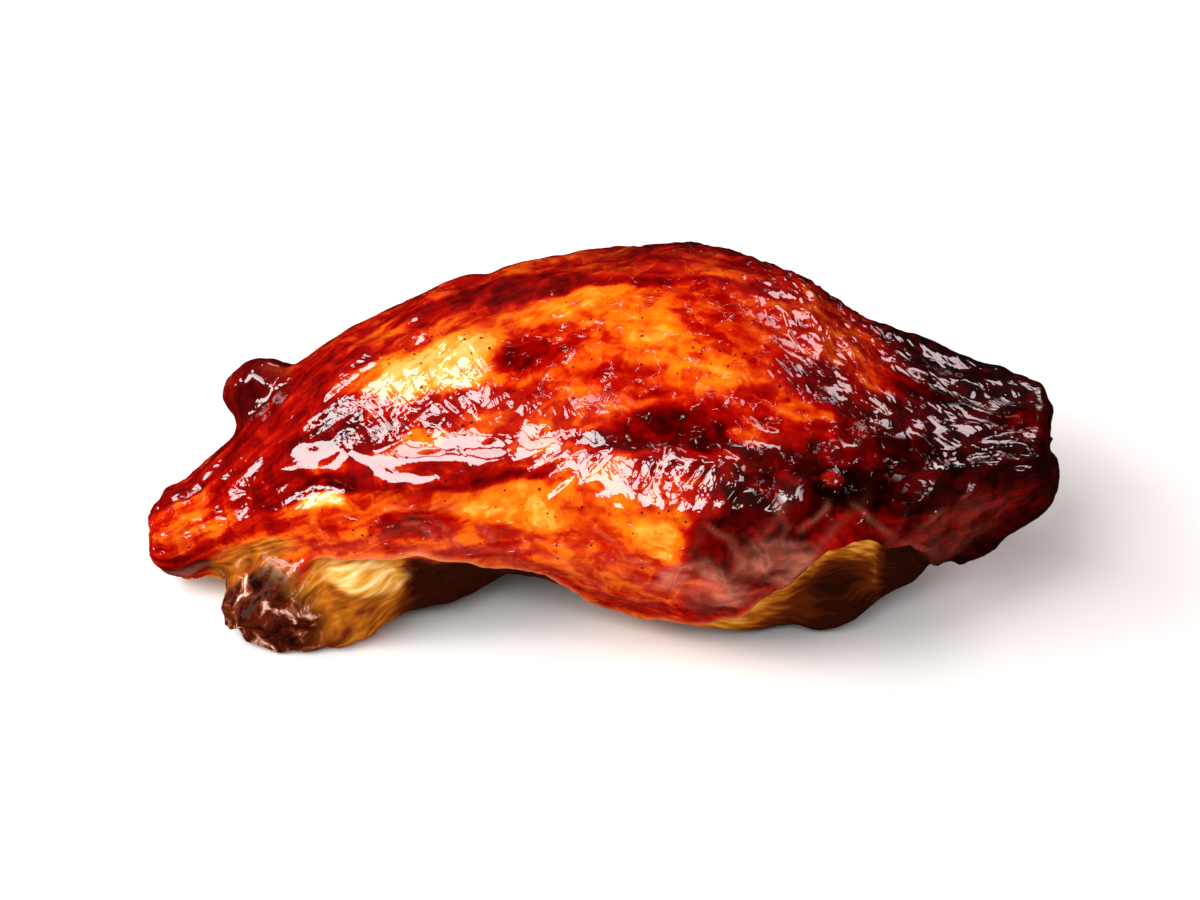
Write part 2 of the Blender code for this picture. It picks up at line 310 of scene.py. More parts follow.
# Pale veins of fat on the front, most of them at the drape: lines that stand a little proud
VEIN_HALF_WIDTH = 0.30  # mm
VEIN_HEIGHT = 0.09  # mm
VEINS = (
    ((22.0, 146.0), (24.0, 150.0), (27.0, 159.0), (30.0, 170.0), (33.0, 188.0)),
    ((22.5, 148.0), (22.0, 153.0), (21.0, 158.0), (19.5, 163.0)),
    ((17.6, 152.0), (17.0, 157.0), (18.0, 162.0), (17.2, 168.0)),
    ((9.0, 172.0), (11.6, 181.0), (13.4, 196.0)),
    ((10.6, 164.0), (12.8, 170.0), (14.2, 180.0)),
    ((14.6, 176.0), (17.0, 184.0), (18.6, 176.0), (21.5, 172.0)),
    ((13.5, 196.0), (16.0, 190.0), (17.5, 184.0)),
    ((29.0, 168.0), (33.0, 160.0), (36.5, 150.0)),
    ((-1.0, 168.0), (2.0, 175.0), (5.0, 182.0)),
    ((-23.5, 171.0), (-20.0, 165.0), (-15.0, 165.0), (-12.0, 173.0), (-10.5, 182.0)),
    ((-20.0, 173.0), (-17.5, 170.0), (-15.5, 176.0), (-14.0, 184.0)),
    ((-21.0, 179.0), (-18.0, 176.0), (-16.4, 183.0)),
)
vein = np.max([bump(gap_to(line), 0.0, VEIN_HALF_WIDTH) for line in VEINS], axis=0) * skin
vein *= smooth(0.5 + 1.4 * rough(points, 2.2, 16.0))
relief += VEIN_HEIGHT * vein

# Roughness of the skin, from broad waves to the grain of the crust, each by its height in mm.
# The top of the dome is stiller than the rest, and so is the face of the dark end.
broad = streaks((5.5, 3.0, 4.0), 2.0)
pulled = streaks((6.0, 1.4, 3.0), 1.0)
film = streaks((2.4, 1.0, 1.4), 3.0)
grain = rough(points, 0.95, 4.0)
lumps = rough(points, 2.1, 5.0)
creases = 1.0 - np.abs(rough(points, (6.5, 3.6, 3.2), 6.0)) * 2.2
cracks = 1.0 - np.abs(rough(points, 1.7, 7.0)) * 2.2
calm = skin * (1.0 - 0.8 * end) * (1.0 - 0.82 * ledge)
still_top = patch((4.0, 112.0, 13.0, 24.0, 0.0), 1.0)
relief += calm * (
    (0.26 - 0.16 * still_top) * broad + (0.16 - 0.06 * still_top) * pulled + 0.11 * film
)
left_patch = patch((-20.0, 120.0, 12.0, 24.0, 0.0), 1.0)
relief += 0.16 * left_patch * (1.0 - ledge) * streaks((3.4, 1.2, 2.0), 17.0)
relief += skin * crusty * (0.14 * (cracks - 0.5) + 0.17 * grain + 0.10 * lumps)
end_face = patch((37.0, 121.0, 5.0, 9.0, 0.0), 1.0)
relief += skin * end * (1.0 - 0.65 * end_face) * (
    0.42 * (creases - 0.5) + 0.08 * (cracks - 0.5) + 0.05 * grain + 0.12 * lumps
)
relief += (0.05 * lumps + 0.02 * grain) * (1.0 - 0.8 * ledge)

# Folds that fan out where the skin is drawn up: sharp crests with round hollows between
FOLD_SPACING = 4.6  # mm
FOLD_HEIGHT = 0.50  # mm
fan = along * 0.8 + across * 0.45 + 0.9 * rough(points, 4.5, 8.0)
crest = (1.0 - np.abs(np.sin(fan * math.pi / FOLD_SPACING))) ** 2
relief += drape * skin * (FOLD_HEIGHT * crest - 0.12)

# The hem stands off the meat as a lip with a groove under it, and the meat is stringy
LIP_HEIGHT = 0.38  # mm
GROOVE_DEPTH = 0.45  # mm
lip = bump(past_hem, -1.5, 2.2) * smooth((44.0 - x) / 8.0)
relief += LIP_HEIGHT * lip - GROOVE_DEPTH * bump(past_hem, 4.0, 3.0)
strings = rough(points, (3.2, 0.9, 0.9), 9.0)
relief += bare * (0.16 * strings + 0.12 * lumps)

# The two knuckles, the gristle cap beside the lower one and the nub at the back
def near(centre, reach, edge=0.4):
    """1 on the lobe of that centre and half size, and 0 outside it, past that edge."""
    gap = (points - np.array(centre)) / np.array(reach) + 0.12 * jitter[:, :1]
    return smooth((1.45 - np.linalg.norm(gap, axis=1)) / edge)


upper_knuckle = near((-42.0, -3.3, 6.0), (5.5, 6.0, 6.0))
lower_knuckle = near((-33.4, -11.6, 3.4), (5.2, 5.6, 5.4))
knuckle_rim = near((-30.5, -12.6, 1.4), (7.0, 4.4, 2.2))
shank = near((-24.4, -11.6, 4.8), (5.2, 4.6, 5.0))
gristle = near((-23.4, -14.2, 9.6), (3.3, 2.6, 1.6), 0.5)
nub = near((-34.6, 5.4, 17.6), (4.6, 4.4, 4.6))
knobs = np.maximum.reduce([upper_knuckle, lower_knuckle, knuckle_rim, nub])
relief += knobs * (0.14 * (cracks - 0.5) + 0.12 * grain + 0.16 * lumps)
relief *= 1.0 - 0.85 * gristle

# The relief is laid on the mesh, which stays on the table and inside the solid's box
points = points + normals * relief[:, None]
points[:, 2] = np.maximum(points[:, 2], 0.0)
half_size = (np.array(cad_high) - np.array(cad_low)) / MM / 2
points[:, :2] = np.clip(points[:, :2], -half_size[:2], half_size[:2])
skin_mesh.vertices.foreach_set("co", (points * MM).ravel())
skin_mesh.update()
skin_mesh.shade_smooth()

# How thick the glaze lies, from 0, bare yellow skin, to 1, near black: x, angle, half length,
# half width, lean, thickness. A later patch lies over an earlier one.
GLAZE_PATCHES = (
    (3.0, 104.0, 20.0, 26.0, 0.0, 0.37),
    (-4.0, 79.0, 22.0, 8.0, 0.0, 0.66),
    (9.0, 74.0, 12.0, 7.0, 0.0, 0.50),
    (-12.5, 91.0, 9.0, 5.0, -0.3, 0.46),
    (-3.0, 91.0, 6.5, 6.0, -0.4, 0.24),
    (-26.0, 84.0, 7.0, 9.0, -0.4, 0.38),
    (-36.0, 104.0, 4.0, 12.0, -0.6, 0.46),
    (-19.0, 62.0, 9.0, 8.0, 0.0, 0.52),
    (-0.5, 107.0, 5.5, 9.0, 0.0, 0.40),
    (5.5, 104.0, 3.4, 8.0, -0.4, 0.24),
    (13.5, 97.0, 7.0, 12.0, 0.0, 0.50),
    (-34.0, 100.0, 13.0, 42.0, 0.0, 0.60),
    (-22.0, 132.0, 8.0, 8.0, 0.0, 0.57),
    (-27.0, 126.0, 3.6, 8.0, 0.0, 0.70),
    (-21.5, 103.0, 5.0, 8.0, 0.0, 0.28),
    (-13.0, 127.0, 10.0, 4.5, 0.0, 0.52),
    (-17.5, 137.0, 2.4, 3.0, 0.0, 0.30),
    (-15.6, 109.0, 7.6, 11.5, 0.0, 0.10),
    (-4.0, 118.0, 5.0, 6.0, 0.0, 0.40),
    (-6.0, 109.0, 4.2, 9.0, -0.9, 0.54),
    (-7.0, 109.5, 2.2, 5.0, -0.9, 0.74),
    (3.0, 121.0, 5.5, 5.5, 0.0, 0.55),
    (10.0, 119.0, 6.5, 4.0, -0.6, 0.30),
    (8.5, 136.0, 7.5, 7.5, 0.0, 0.76),
    (3.0, 141.0, 6.0, 3.0, 0.0, 0.72),
    (9.5, 147.0, 6.0, 3.6, 0.0, 0.68),
    (19.0, 128.0, 9.0, 9.5, 0.0, 0.57),
    (20.5, 125.0, 3.5, 3.4, 0.0, 0.43),
    (24.0, 112.0, 7.0, 9.0, 0.0, 0.68),
    (29.0, 128.0, 5.5, 13.0, 0.0, 0.82),
    (22.0, 142.0, 9.0, 5.5, 0.0, 0.74),
    (27.5, 148.0, 8.0, 10.0, 0.0, 0.95),
    (24.0, 136.0, 4.0, 4.0, 0.0, 0.76),
    (14.5, 137.0, 1.9, 2.8, 0.0, 0.34),
    (22.6, 145.0, 1.1, 2.6, 0.0, 0.54),
    (-19.0, 150.0, 11.0, 9.0, -0.4, 0.55),
    # The next patch is painted shade: a dark red line of shadow under the ledge's lip
    (-12.0, 155.0, 7.0, 2.6, -0.5, 0.66),
    (-33.0, 146.0, 5.0, 14.0, 0.0, 0.66),
    (-43.0, 122.0, 3.4, 14.0, 0.0, 0.42),
    (-31.0, 172.0, 7.0, 13.0, 0.0, 0.47),
    (-35.0, 170.0, 6.0, 12.0, 0.0, 0.56),
    (-34.0, 184.0, 5.0, 6.0, 0.0, 0.40),
    (-30.0, 163.0, 2.6, 4.0, 0.0, 0.36),
    (-25.0, 168.0, 4.0, 9.0, 0.0, 0.38),
    (-18.0, 160.0, 8.0, 5.0, 0.2, 0.42),
    (-27.4, 159.5, 2.2, 5.0, 0.0, 0.08),
    (-26.9, 149.5, 3.3, 6.0, 0.0, 0.72),
    (-13.0, 190.0, 9.0, 8.0, 0.3, 0.47),
    (-18.0, 176.0, 7.2, 14.0, 0.0, 0.38),
    (-18.2, 176.5, 4.8, 9.5, 0.0, 0.55),
    (-8.0, 165.0, 6.0, 10.0, 0.0, 0.22),
    (-9.0, 164.0, 3.4, 5.0, 0.0, 0.15),
    (0.0, 158.0, 5.5, 9.0, 0.0, 0.34),
    (7.0, 155.0, 5.0, 5.0, 0.0, 0.48),
    (0.0, 188.0, 7.0, 11.0, 0.0, 0.37),
    (3.0, 184.0, 4.0, 5.0, 1.5, 0.42),
    (5.6, 170.0, 3.0, 7.0, 1.0, 0.17),
    (11.0, 158.0, 3.0, 7.0, 0.0, 0.54),
    (16.5, 154.0, 5.0, 8.0, 0.0, 0.82),
    (15.0, 174.0, 6.5, 17.0, 0.0, 0.76),
    (16.0, 200.0, 7.5, 12.0, 0.0, 0.66),
    (15.8, 203.0, 2.4, 5.0, 0.0, 0.50),
    (25.0, 162.0, 5.0, 10.0, 0.0, 0.72),
    (5.0, 209.0, 8.0, 7.0, 0.0, 0.52),
    (-38.6, 153.0, 2.4, 8.0, 0.0, 0.46),
    (-41.6, 138.0, 1.6, 6.0, 0.0, 0.34),
    (-40.5, 160.0, 3.6, 10.0, 0.0, 0.34),
    (-42.0, 165.0, 3.0, 12.0, 0.0, 0.42),
    (-43.0, 176.0, 3.6, 14.0, 0.0, 0.48),
    (-42.0, 206.0, 4.0, 14.0, 0.0, 0.78),
    (-43.5, 185.0, 2.4, 7.0, 0.0, 0.62),
)
glaze = 0.42 + 0.24 * smooth((70.0 - angle) / 22.0) * smooth((0.0 - x) / 16.0) + 0.14 * rim
glaze += 0.08 * rough(points, 8.0, 23.0)
for row in GLAZE_PATCHES:
    glaze += (row[5] - glaze) * patch(row)
END_GLAZE = 0.86
END_GLAZE_PATCHES = (
    (43.0, 116.0, 2.4, 12.0, 0.0, 0.74),
    (37.0, 172.0, 6.5, 20.0, 0.0, 0.72),
)
glaze += (END_GLAZE - glaze) * end
for row in END_GLAZE_PATCHES:
    glaze += (row[5] - glaze) * patch(row)
glaze += 0.07 * streaks((8.0, 2.4, 4.0), 21.0) + 0.06 * streaks((3.2, 1.1, 2.0), 22.0)
glaze -= 0.10 * np.clip(pulled * 0.6 + broad * 0.5 + film * 0.3, -0.6, 0.6) * calm
glaze = np.clip(glaze, 0.02, 0.98)

# Burnt black in the creases of the end, in the cracks of the back rim and on the nub
char = np.clip(
    0.5 * end * smooth((creases + cracks) * 0.5)
    + 0.8 * rim * smooth((cracks - 0.3) / 0.4)
    + 0.6 * nub, 0.0, 1.0,
)

# Pale fat on the veins, and a pale sheen painted on in ragged patches, most of them at the drape,
# and along the crests of its folds: x, angle, half length, half width, lean, share, softness
FAT_FILM_AND_SHEEN_PATCHES = (
    (8.6, 186.0, 3.0, 8.0, 0.0, 1.20, 0.9),
    (18.0, 177.0, 3.4, 9.0, 0.0, 0.75, 0.9),
    (13.0, 192.0, 2.4, 6.0, 0.0, 0.80, 0.9),
    (36.0, 176.0, 5.5, 18.0, 0.0, 0.12, 0.9),
    (-2.0, 192.0, 26.0, 15.0, 0.0, 0.15, 1.0),
    (-42.5, 206.0, 3.0, 9.0, 0.0, 0.45, 0.9),
)
ragged = smooth(0.62 + rough(points, (3.0, 1.8, 1.3), 18.0))
# Pale fat on the veins, and a painted highlight along the crests of the drape's folds
fat_film_and_sheen = 0.30 * vein + 0.34 * drape * skin * crest**2
fat_film_and_sheen += ragged * sum(row[5] * patch(row, row[6]) for row in FAT_FILM_AND_SHEEN_PATCHES)
fat_film_and_sheen = np.clip(fat_film_and_sheen, 0.0, 1.0) * skin * (1.0 - gristle) * (1.0 - shank) * (1.0 - lower_knuckle)

# The hem's pale edge, and where bare meat and cartilage show
hem_line = skin * (1.0 - gristle) * (1.0 - shank) * bump(past_hem, -1.0, 1.5)
hem_line *= smooth((17.0 - x) / 4.0) * smooth((x + 30.0) / 4.0)
inner_side = patch((-34.6, 194.0, 4.4, 10.5, -1.0)) * smooth((points[:, 1] + 13.4) / 1.4)
lower_knuckle *= 1.0 - inner_side
meat = np.maximum.reduce([bare, shank, lower_knuckle, inner_side])

# How wet the glaze is: it has set dull in the first patches, with no streak of light on them,
# and stays wet enough to glint in the others. x, angle, half length, half width, lean
DULL_PATCHES = (
    (4.0, 106.0, 13.0, 26.0, 0.0),
    (-16.0, 178.0, 13.0, 15.0, 0.0),
    (-6.0, 115.0, 5.0, 12.0, 0.0),
    (8.0, 133.0, 7.5, 11.0, 0.0),
    (23.0, 147.0, 8.0, 12.0, 0.0),
    (4.5, 174.0, 6.0, 10.0, 0.0),
    (-27.2, 146.0, 2.4, 3.6, 0.0),
    (20.0, 126.0, 6.0, 8.0, 0.0),
    (41.5, 108.0, 3.6, 9.0, 0.0),
    (33.5, 96.0, 5.0, 5.0, 0.0),
    (29.0, 130.0, 3.4, 7.0, 0.0),
    (29.0, 96.0, 3.4, 8.0, 0.0),
    (-42.0, 127.0, 4.2, 15.0, 0.0),
)
GLINT_PATCHES = (
    (18.4, 150.0, 1.3, 5.0, 0.8),
    (22.6, 144.0, 1.1, 2.4, 0.0),
)
dull = np.max([patch(row) for row in DULL_PATCHES], axis=0) * skin
dry_meat = np.maximum(meat, lower_knuckle) * (1.0 - gristle)
wet = np.clip(1.0 - 0.85 * dry_meat - 0.5 * fat_film_and_sheen, 0.15, 1.0)
wet *= (1.0 - dull) * (1.0 - 0.8 * lower_knuckle)
wet = np.maximum(wet, np.max([patch(row) for row in GLINT_PATCHES], axis=0))

# How densely small drops stand on it: most on the dull glaze and the crust, none on the ledge
dropped = np.clip(0.9 * dull + 0.35 * crusty + 0.15, 0.0, 1.0)
dropped *= skin * (1.0 - meat) * (1.0 - ledge)

# Where the film is rippled enough to break the light into flecks, and where it lies still:
# x, angle, half length, half width, lean, share
RIPPLED_PATCHES = (
    (-18.0, 108.0, 11.0, 16.0, 0.0, 0.40),
    (-25.0, 125.0, 8.0, 14.0, 0.0, 0.25),
    (-13.0, 132.0, 9.0, 8.0, 0.0, 0.50),
    (-35.0, 148.0, 5.0, 10.0, 0.0, 0.40),
    (22.0, 112.0, 8.0, 14.0, 0.0, 0.40),
)
STILL_PATCH = (21.0, 148.0, 9.0, 12.0, 0.0)
rippled = 0.28 + 0.5 * crusty + 0.25 * end
rippled += sum(row[5] * patch(row, 1.2) for row in RIPPLED_PATCHES)
rippled *= (1.0 - 0.65 * patch(STILL_PATCH, 1.0)) * (1.0 - 0.6 * end_face)
rippled = np.clip(rippled * (1.0 - 0.72 * ledge), 0.06, 1.0)

# Painted shade on the meat: how deep it lies in the hem's shade, from its distance to the hem:
# deepest under the dark end and between the shank and the middle, and shallow on the shank and
# beside the knuckle
edge = np.flatnonzero((np.abs(past_hem) < 1.2) & (points[:, 1] < 5.0))
tree_of_edge = kdtree.KDTree(len(edge))
for i in edge:
    tree_of_edge.insert(points[i], i)
tree_of_edge.balance()
from_hem = np.array([tree_of_edge.find(p)[2] for p in points])
painted_hem_shade = smooth((from_hem - 2.6) / 9.0)
painted_hem_shade = np.maximum(painted_hem_shade, smooth((x - 26.5) / 2.5) * smooth((from_hem - 0.3) / 1.0))
painted_hem_shade = np.maximum(painted_hem_shade, smooth((x + 20.5) / 2.5) * smooth((0.0 - x) / 8.0))
painted_hem_shade = painted_hem_shade + (0.27 - painted_hem_shade) * inner_side
painted_hem_shade = painted_hem_shade + (0.25 - painted_hem_shade) * shank * smooth((-19.0 - x) / 2.0)
for name, value in (
    ("glaze", glaze), ("char", char), ("fat_film_and_sheen", fat_film_and_sheen), ("hem_line", hem_line),
    ("meat", meat), ("under", painted_hem_shade), ("cartilage", lower_knuckle), ("gristle", gristle),
    ("wet", wet), ("rippled", rippled), ("dropped", dropped),
    ("left_share", left_share), ("drape_share", drape_share),
):
    layer = skin_mesh.attributes.new(name, "FLOAT", "POINT")
    layer.data.foreach_set("value", value.astype(np.float32))
on_skin = np.stack([along, across, 0.25 * points[:, 2]], axis=-1)
layer = skin_mesh.attributes.new("on_skin", "FLOAT_VECTOR", "POINT")
layer.data.foreach_set("vector", on_skin.astype(np.float32).ravel())


def linear(code):
    """A linear RGBA colour from an sRGB hex code."""
    parts = [int(code[i:i + 2], 16) / 255 for i in (1, 3, 5)]
    return [c / 12.92 if c <= 0.04045 else ((c + 0.055) / 1.055) ** 2.4 for c in parts] + [1.0]


def add(tree, kind, feeds=None, stops=None, **settings):
    """Adds a node with its settings. feeds gives each input a value or the socket that feeds
    it, and stops gives a colour ramp its places and colours, in order."""
    made = tree.nodes.new(kind)
    for name, value in settings.items():
        setattr(made, name, value)
    for socket, source in (feeds or {}).items():
        if isinstance(source, bpy.types.NodeSocket):
            tree.links.new(source, made.inputs[socket])
        else:
            made.inputs[socket].default_value = source
    if stops:
        elements = made.color_ramp.elements
        for place, _ in stops[1:-1]:
            elements.new(place)
        for element, (place, code) in zip(elements, stops):
            element.position = place
            element.color = linear(code)
    return made


# Barbecue glaze over roast skin: sugar, tomato and smoke boiled down to a clear sticky film.
# Thin glaze lets the yellow-orange skin through, thick glaze goes from red to near black, and
# the wet film on top throws back sharp streaks of light.
roast = bpy.data.materials.new("barbecue_glaze_on_roast_skin")
roast.use_nodes = True
tree = roast.node_tree
tree.nodes.clear()

layers = {
    name: add(tree, "ShaderNodeAttribute", attribute_name=name).outputs["Fac"]
    for name in (
        "glaze", "char", "fat_film_and_sheen", "hem_line", "meat", "under", "cartilage", "gristle",
        "wet", "rippled", "dropped", "left_share", "drape_share",
    )
}
on_skin = add(tree, "ShaderNodeAttribute", attribute_name="on_skin").outputs["Vector"]
place = add(tree, "ShaderNodeTexCoord").outputs["Object"]

# Streaks about 0.8 mm wide and 2.4 mm long, along the skin's pull in each of its three places
streak = None
for turn, share in (
    (PULLS[1], None), (PULLS[0], layers["left_share"]), (PULLS[2], layers["drape_share"]),
):
    turned = add(
        tree, "ShaderNodeVectorRotate", {"Vector": on_skin, "Angle": -turn}, rotation_type="Z_AXIS",
    )
    stretch = add(tree, "ShaderNodeMapping", {
        "Vector": turned.outputs[0], "Scale": (0.42, 1.3, 1.0),
    })
    found = add(tree, "ShaderNodeTexNoise", {
        "Vector": stretch.outputs[0], "Scale": 1.0, "Detail": 1.5, "Roughness": 0.5,
    }).outputs["Fac"]
    if streak is None:
        streak = found
    else:
        streak = add(tree, "ShaderNodeMix", {0: share, 2: streak, 3: found}).outputs[0]

# Mottling about 1 mm across, and blotches of 3 mm with clear edges where the glaze has run
mottle = add(tree, "ShaderNodeTexNoise", {
    "Vector": place, "Scale": 850.0, "Detail": 3.0, "Roughness": 0.5, "Distortion": 0.4,
}).outputs["Fac"]
blotch = add(tree, "ShaderNodeTexNoise", {
    "Vector": place, "Scale": 330.0, "Detail": 5.0, "Roughness": 0.6, "Distortion": 0.6,
}).outputs["Fac"]
blotch = add(tree, "ShaderNodeMapRange", {
    "Value": blotch, "From Min": 0.44, "From Max": 0.56, "To Min": -0.5, "To Max": 0.5,
}, interpolation_type="SMOOTHSTEP").outputs["Result"]

# How much each of them thickens the glaze, and what is taken off again to keep it even overall
THICKENING = ((streak, 0.26), (mottle, 0.26), (blotch, 0.11))
EVEN_OUT = 0.245
thickness = layers["glaze"]
for texture, share in THICKENING:
    thickness = add(
        tree, "ShaderNodeMath", {0: texture, 1: share, 2: thickness}, operation="MULTIPLY_ADD",
    ).outputs[0]
thickness = add(
    tree, "ShaderNodeMath", {0: thickness, 1: EVEN_OUT}, operation="SUBTRACT",
).outputs[0]
glaze_colour = add(tree, "ShaderNodeValToRGB", {"Fac": thickness}, stops=(
    (0.0, "#F0B25C"), (0.14, "#F0922C"), (0.23, "#EC6E0A"), (0.32, "#E05C09"), (0.40, "#C63C06"),
    (0.48, "#AC1702"), (0.56, "#940501"), (0.66, "#740201"), (0.76, "#500100"), (0.88, "#2A0100"),
    (1.0, "#100100"),
)).outputs["Color"]

# Pepper and burnt specks about 0.4 mm across
specks = add(tree, "ShaderNodeTexVoronoi", {"Vector": place, "Scale": 1200.0, "Randomness": 1.0})
speck_size = add(tree, "ShaderNodeSeparateXYZ", {"Vector": specks.outputs["Color"]}).outputs["X"]
speck_size = add(tree, "ShaderNodeMapRange", {
    "Value": speck_size, "From Min": 0.55, "From Max": 1.0, "To Min": 0.0, "To Max": 0.24,
}).outputs["Result"]
speck = add(
    tree, "ShaderNodeMath", {0: specks.outputs["Distance"], 1: speck_size}, operation="LESS_THAN",
).outputs[0]
speck = add(tree, "ShaderNodeMath", {0: speck, 1: 0.9}, operation="MULTIPLY").outputs[0]
glaze_colour = add(tree, "ShaderNodeMix", {
    0: speck, 6: glaze_colour, 7: linear("#400F02"),
}, data_type="RGBA").outputs[2]

# Roast meat under the hem, with its shade painted in: tan by the hem's edge, near black deep under
# it
meat_streaks_and_shade = add(
    tree, "ShaderNodeMath", {0: streak, 1: 0.9, 2: layers["under"]}, operation="MULTIPLY_ADD",
).outputs[0]
meat_streaks_and_shade = add(tree, "ShaderNodeMath", {0: meat_streaks_and_shade, 1: 0.36}, operation="SUBTRACT").outputs[0]
meat_colour = add(tree, "ShaderNodeValToRGB", {"Fac": meat_streaks_and_shade}, stops=(
    (0.0, "#D99638"), (0.25, "#A65A14"), (0.55, "#5E240A"), (1.0, "#2A0D05"),
)).outputs["Color"]

# Cartilage of the lower knuckle: dark brown, with pale flecks painted on for the glints on it
pale_fleck_noise = add(tree, "ShaderNodeTexNoise", {
    "Vector": place, "Scale": 420.0, "Detail": 4.0, "Roughness": 0.65, "Distortion": 1.2,
}).outputs["Fac"]
cartilage_and_painted_glints = add(tree, "ShaderNodeValToRGB", {"Fac": pale_fleck_noise}, stops=(
    (0.34, "#150504"), (0.46, "#3A1006"), (0.55, "#5A1E0C"), (0.60, "#8A4E36"), (0.66, "#DCB6A2"),
)).outputs["Color"]

# Gristle: a pale waxy cap, orange-brown where fat has browned on it, its cream made lighter as a
# painted highlight
gristle_and_painted_highlight = add(tree, "ShaderNodeValToRGB", {"Fac": streak}, stops=(
    (0.24, "#F8E2BA"), (0.42, "#EDC482"), (0.58, "#D9973A"), (0.76, "#A8600F"),
)).outputs["Color"]

# The skin, with the parts that lie bare or over it laid on in turn
colour = glaze_colour
for share, over in (
    (layers["meat"], meat_colour), (layers["cartilage"], cartilage_and_painted_glints),
    (layers["gristle"], gristle_and_painted_highlight), (layers["char"], linear("#180303")),
    (layers["hem_line"], linear("#E2824E")),
):
    colour = add(
        tree, "ShaderNodeMix", {0: share, 6: colour, 7: over}, data_type="RGBA",
    ).outputs[2]

# Pale fat and painted sheen, thickest along a net of fibres 1 to 2 mm apart
net = add(tree, "ShaderNodeTexNoise", {
    "Vector": place, "Scale": 380.0, "Detail": 3.0, "Roughness": 0.55, "Distortion": 1.5,
}).outputs["Fac"]
net = add(tree, "ShaderNodeMath", {0: net, 1: 0.5}, operation="SUBTRACT").outputs[0]
net = add(tree, "ShaderNodeMath", {0: net}, operation="ABSOLUTE").outputs[0]
net = add(tree, "ShaderNodeMapRange", {
    "Value": net, "From Min": 0.0, "From Max": 0.12, "To Min": 0.62, "To Max": 0.36,
}).outputs["Result"]
fat_film_and_sheen_share = add(
    tree, "ShaderNodeMath", {0: net, 1: layers["fat_film_and_sheen"]}, operation="MULTIPLY",
).outputs[0]
colour = add(tree, "ShaderNodeMix", {
    0: fat_film_and_sheen_share, 6: colour, 7: linear("#DC8268"),
}, data_type="RGBA").outputs[2]

# The wet film's wrinkles along the pull, its beads of fat 1.6 mm apart and its ripples 1.2 mm
# wide and 4 mm long, each as relief finer than the mesh can carry
WRINKLE_HEIGHT = 0.10 * MM
BEAD_HEIGHT = 0.10 * MM
RIPPLE_HEIGHT = 0.34 * MM
wrinkled = add(tree, "ShaderNodeBump", {
    "Height": streak, "Distance": WRINKLE_HEIGHT, "Strength": layers["rippled"],
})
beads = add(tree, "ShaderNodeTexVoronoi", {"Vector": place, "Scale": 620.0}, feature="SMOOTH_F1")
bead_rise = add(tree, "ShaderNodeMapRange", {
    "Value": beads.outputs["Distance"],
    "From Min": 0.0, "From Max": 0.30, "To Min": 1.0, "To Max": 0.0,
}, interpolation_type="SMOOTHSTEP").outputs["Result"]
beaded = add(tree, "ShaderNodeBump", {
    "Height": bead_rise, "Distance": BEAD_HEIGHT, "Strength": layers["rippled"],
    "Normal": wrinkled.outputs[0],
})
ripple = add(tree, "ShaderNodeTexNoise", {
    "Vector": stretch.outputs[0], "Scale": 0.62, "Detail": 1.0, "Roughness": 0.4, "Distortion": 0.8,
}).outputs["Fac"]
rippled_film = add(tree, "ShaderNodeBump", {
    "Height": ripple, "Distance": RIPPLE_HEIGHT, "Strength": layers["rippled"],
    "Normal": beaded.outputs[0],
}).outputs[0]

# Small drops of fat and sugar, 0.5 to 1 mm across, that glint where the glaze has set dull
DROP_HEIGHT = 0.24 * MM
drops = add(tree, "ShaderNodeTexNoise", {
    "Vector": place, "Scale": 680.0, "Detail": 2.0, "Roughness": 0.5, "Distortion": 0.8,
}).outputs["Fac"]
drop_rise = add(tree, "ShaderNodeMapRange", {
    "Value": drops, "From Min": 0.58, "From Max": 0.72, "To Min": 0.0, "To Max": 1.0,
}, interpolation_type="SMOOTHSTEP").outputs["Result"]
with_drops = add(tree, "ShaderNodeBump", {
    "Height": drop_rise, "Distance": DROP_HEIGHT, "Strength": layers["dropped"],
    "Normal": rippled_film,
}).outputs[0]
drop_wet = add(tree, "ShaderNodeMapRange", {
    "Value": drops, "From Min": 0.60, "From Max": 0.62, "To Min": 0.0, "To Max": 1.0,
}, interpolation_type="SMOOTHSTEP").outputs["Result"]
drop_wet = add(
    tree, "ShaderNodeMath", {0: drop_wet, 1: layers["dropped"]}, operation="MULTIPLY",
).outputs[0]
film_wet = add(
    tree, "ShaderNodeMath", {0: drop_wet, 1: layers["wet"]}, operation="MAXIMUM",
).outputs[0]

shader = add(tree, "ShaderNodeBsdfPrincipled", {
    "Base Color": colour,
    "Roughness": 0.45,
    "IOR": 1.45,
    "Specular IOR Level": 0.0,
    "Coat Weight": film_wet,
    "Coat Roughness": 0.05,
    "Coat IOR": 1.8,
    "Normal": rippled_film,
    "Coat Normal": with_drops,
})
add(tree, "ShaderNodeOutputMaterial", {"Surface": shader.outputs["BSDF"]})

skin_mesh.materials.clear()
skin_mesh.materials.append(roast)
wing = bpy.data.objects.new("glazed_wing", skin_mesh)
bpy.context.scene.collection.objects.link(wing)
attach(wing, "root")
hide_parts("chicken_wing")


# The table: a plain board painted matt white, which takes a soft shadow and no gloss. It runs
# on past the picture on every side, so that no edge of it shows.
TABLE_HALF = 1.5
table_mesh = bpy.data.meshes.new("table_top")
table_mesh.from_pydata(
    [
        (-TABLE_HALF, -TABLE_HALF, 0), (TABLE_HALF, -TABLE_HALF, 0),
        (TABLE_HALF, TABLE_HALF, 0), (-TABLE_HALF, TABLE_HALF, 0),
    ],
    [],
    [(0, 1, 2, 3)],
)
table_top = bpy.data.objects.new("table_top", table_mesh)
bpy.context.scene.collection.objects.link(table_top)
white = bpy.data.materials.new("matt_white_board")
white.use_nodes = True
paint = white.node_tree.nodes["Principled BSDF"]
paint.inputs["Base Color"].default_value = linear("#F4F3F1")
paint.inputs["Roughness"].default_value = 0.7
table_mesh.materials.append(white)
table_top.visible_glossy = False  # the wing was lit against black: no board shows in its glaze


